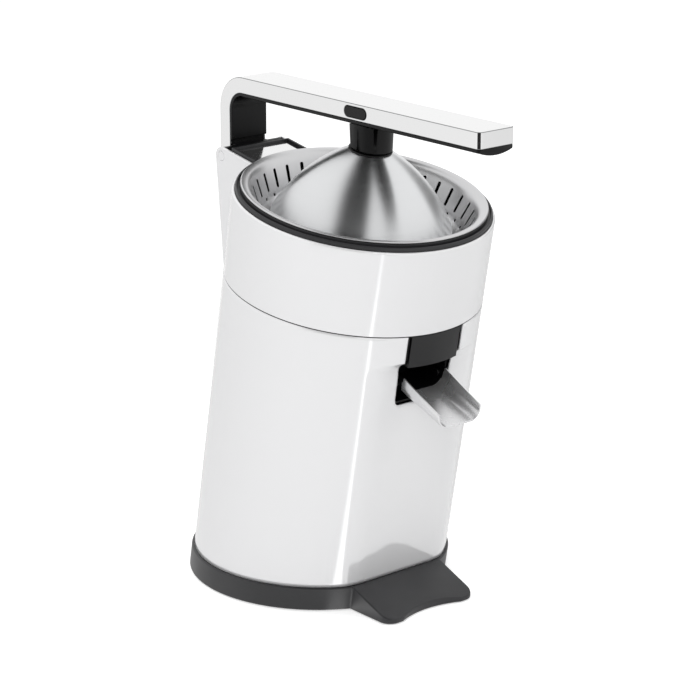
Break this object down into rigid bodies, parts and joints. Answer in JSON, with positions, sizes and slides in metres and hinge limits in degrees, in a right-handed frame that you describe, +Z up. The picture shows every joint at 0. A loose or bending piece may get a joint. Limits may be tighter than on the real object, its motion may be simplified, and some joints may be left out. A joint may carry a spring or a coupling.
{
  "type": "electric citrus press",
  "caption": "Electric citrus press: a forward-leaning round steel body on a charcoal base, a hinged lever with a pressing dome over a strainer and reamer, and a tilting spout.",
  "frame": {"origin": "centre of the bounding box on the table plane, under the body", "axes": "+Z up, -Y towards the spout and the free end of the lever, +X to the right seen from behind; the body axis leans 10.4 degrees towards -Y"},
  "size_m": [0.1632, 0.2434, 0.3094],
  "materials": {
    "polished_steel": "stainless sheet polished to a mirror",
    "brushed_steel": "stainless sheet with a fine brushed grain",
    "charcoal_plastic": "moulded charcoal plastic, satin",
    "black_plastic": "moulded black plastic, satin",
    "black_rubber": "moulded black rubber",
    "bright_steel": "turned or zinc plated steel",
    "sintered_bronze": "sintered bronze or machined brass",
    "grey_chassis": "glass-filled grey plastic",
    "natural_acetal": "natural acetal, moulded",
    "motor_steel": "drawn steel can, zinc plated",
    "motor_plastic": "moulded dark plastic",
    "motor_iron": "laminated iron, copper windings and ferrite",
    "green_board": "green glass-fibre circuit board",
    "yellow_capacitor": "moulded capacitor box"
  },
  "bodies": {
    "housing": {"base_tray": "charcoal_plastic", "base_feet": "black_rubber", "base_screws": "bright_steel", "cord_gland": "black_rubber", "lower_shell": "polished_steel", "seam_ring": "black_rubber", "upper_ring": "polished_steel", "hinge_tower": "polished_steel", "tower_cover": "charcoal_plastic", "tower_plate": "polished_steel", "tower_screws": "bright_steel", "hinge_pin": "bright_steel", "rim_gasket": "charcoal_plastic", "strainer_basket": "polished_steel", "juice_bowl": "black_plastic", "spout_bezel": "black_plastic", "chassis_deck": "grey_chassis", "chassis_posts": "grey_chassis", "deck_screws": "bright_steel", "gearbox_case": "grey_chassis", "gearbox_cover": "grey_chassis", "shaft_bush": "sintered_bronze", "shaft_seal": "black_rubber", "idler_axle": "bright_steel", "motor_can": "motor_steel", "motor_end_plate": "motor_plastic", "motor_magnets": "motor_iron", "motor_bearings": "sintered_bronze", "motor_screws": "bright_steel", "micro_switch": "motor_plastic", "power_board": "green_board", "board_capacitor": "yellow_capacitor", "board_screws": "bright_steel"},
    "lever": {"arm_shell": "polished_steel", "arm_liner": "black_plastic", "arm_knuckle": "black_plastic", "hinge_bushes": "sintered_bronze", "dome_holder": "black_plastic", "tilt_pin": "bright_steel"},
    "button_left": {"release_button_left": "black_plastic"},
    "button_right": {"release_button_right": "black_plastic"},
    "dome": {"press_dome": "brushed_steel", "dome_collar": "black_plastic", "dome_stud": "bright_steel"},
    "press_sleeve": {"thrust_sleeve": "grey_chassis", "return_spring": "bright_steel"},
    "reamer": {"reamer_cone": "black_plastic", "drive_shaft": "bright_steel"},
    "output": {"output_gear": "natural_acetal"},
    "idler": {"idler_gear": "natural_acetal"},
    "rotor": {"motor_rotor": "motor_iron", "motor_pinion": "sintered_bronze", "cooling_fan": "motor_plastic"},
    "pouring_spout": {"spout": "brushed_steel", "spout_pins": "bright_steel"}
  },
  "joints": [
    {"name": "lever_hinge", "type": "hinge", "parent": "housing", "child": "lever", "pos_m": [0, 0.10182, 0.2599], "axis": [-1, 0, 0], "range_deg": [0, 95]},
    {"name": "dome_tilt", "type": "hinge", "parent": "lever", "child": "dome", "pos_m": [0, -0.01353, 0.28524], "axis": [1, 0, 0], "range_deg": [-3, 3], "stiffness_Nm_per_rad": 3},
    {"name": "button_left_press", "type": "slide", "parent": "lever", "child": "button_left", "axis": [1, 0, 0], "range_m": [0, 0.002], "stiffness_N_per_m": 300, "springref_m": -0.002},
    {"name": "button_right_press", "type": "slide", "parent": "lever", "child": "button_right", "axis": [-1, 0, 0], "range_m": [0, 0.002], "stiffness_N_per_m": 300, "springref_m": -0.002},
    {"name": "cone_press", "type": "slide", "parent": "housing", "child": "press_sleeve", "axis": [0, 0.1805, -0.9836], "range_m": [0, 0.0025], "stiffness_N_per_m": 1500, "springref_m": -0.004, "deforming": ["return_spring"]},
    {"name": "reamer_spin", "type": "hinge", "parent": "press_sleeve", "child": "reamer", "pos_m": [0, -0.00089, 0.21639], "axis": [0, -0.1805, 0.9836], "continuous": true},
    {"name": "motor_spin", "type": "hinge", "parent": "housing", "child": "rotor", "pos_m": [0, 0.02667, 0.12994], "axis": [0, -0.1805, 0.9836], "continuous": true},
    {"name": "idler_spin", "type": "hinge", "parent": "housing", "child": "idler", "pos_m": [0, 0.0451, 0.17908], "axis": [0, -0.1805, 0.9836], "continuous": true},
    {"name": "output_spin", "type": "hinge", "parent": "housing", "child": "output", "pos_m": [0, 0.00561, 0.18098], "axis": [0, -0.1805, 0.9836], "continuous": true},
    {"name": "spout_tilt", "type": "hinge", "parent": "housing", "child": "pouring_spout", "pos_m": [0, -0.05722, 0.1483], "axis": [-1, 0, 0], "range_deg": [0, 24]}
  ],
  "couplings": [
    {"joint": "idler_spin", "follows": "motor_spin", "ratio": -0.25},
    {"joint": "output_spin", "follows": "motor_spin", "ratio": 0.0625},
    {"joint": "reamer_spin", "follows": "motor_spin", "ratio": 0.0625}
  ]
}
